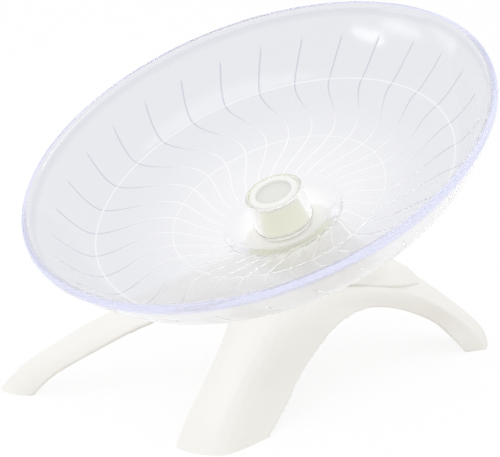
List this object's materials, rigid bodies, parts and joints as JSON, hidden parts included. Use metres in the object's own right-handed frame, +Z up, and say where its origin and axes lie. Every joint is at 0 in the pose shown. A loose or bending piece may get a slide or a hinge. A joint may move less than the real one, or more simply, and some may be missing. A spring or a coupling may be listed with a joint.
{
  "type": "hamster exercise wheel",
  "caption": "Clear saucer-shaped running wheel with raised S ribs, spinning freely on a tilted ball-bearing axle over a swept three-legged stand.",
  "frame": {"origin": "on the floor, under the middle of the whole object's outer box", "axes": "+Z up; the saucer leans down towards -X, and its spin axis lies in the XZ plane, 24 degrees from +Z towards -X; the front and right legs are on the -Y side and the left leg on the +Y side"},
  "size_m": [0.177, 0.18, 0.13],
  "materials": {
    "clear_plastic": "clear, glossy, with a faint violet tint at thick edges",
    "cap_plastic": "cream white moulded plastic, satin",
    "white_plastic": "warm white moulded plastic, satin",
    "bearing_steel": "ground bearing steel",
    "zinc_steel": "bright zinc plate",
    "cage_plastic": "natural cage plastic"
  },
  "bodies": {
    "stand": {"arch_frame": "white_plastic", "long_leg": "white_plastic", "axle_bolt": "zinc_steel", "axle_nut": "zinc_steel", "thrust_washer": "zinc_steel", "bearing_spacer": "zinc_steel", "retaining_washer": "zinc_steel", "lower_inner_race": "bearing_steel", "upper_inner_race": "bearing_steel", "frame_screw_1": "zinc_steel", "frame_screw_2": "zinc_steel", "frame_screw_3": "zinc_steel"},
    "rotor": {"dish": "clear_plastic", "hub_cap": "cap_plastic", "hub_sleeve": "white_plastic", "lower_outer_race": "bearing_steel", "upper_outer_race": "bearing_steel", "lower_top_shield": "bearing_steel", "lower_bottom_shield": "bearing_steel", "upper_top_shield": "bearing_steel", "upper_bottom_shield": "bearing_steel"},
    "lower_cage": {"lower_ball_cage": "cage_plastic", "lower_ball_1": "bearing_steel", "lower_ball_2": "bearing_steel", "lower_ball_3": "bearing_steel", "lower_ball_4": "bearing_steel", "lower_ball_5": "bearing_steel", "lower_ball_6": "bearing_steel", "lower_ball_7": "bearing_steel"},
    "upper_cage": {"upper_ball_cage": "cage_plastic", "upper_ball_1": "bearing_steel", "upper_ball_2": "bearing_steel", "upper_ball_3": "bearing_steel", "upper_ball_4": "bearing_steel", "upper_ball_5": "bearing_steel", "upper_ball_6": "bearing_steel", "upper_ball_7": "bearing_steel"}
  },
  "joints": [
    {"name": "dish_spin", "type": "hinge", "parent": "stand", "child": "rotor", "pos_m": [0.00837, 0, 0.06], "axis": [-0.4067, 0, 0.9135], "continuous": true},
    {"name": "lower_cage_spin", "type": "hinge", "parent": "stand", "child": "lower_cage", "pos_m": [0.00837, 0, 0.06], "axis": [-0.4067, 0, 0.9135], "continuous": true},
    {"name": "upper_cage_spin", "type": "hinge", "parent": "stand", "child": "upper_cage", "pos_m": [0.00837, 0, 0.06], "axis": [-0.4067, 0, 0.9135], "continuous": true}
  ],
  "couplings": [
    {"joint": "lower_cage_spin", "follows": "dish_spin", "ratio": 0.586},
    {"joint": "upper_cage_spin", "follows": "dish_spin", "ratio": 0.586}
  ]
}
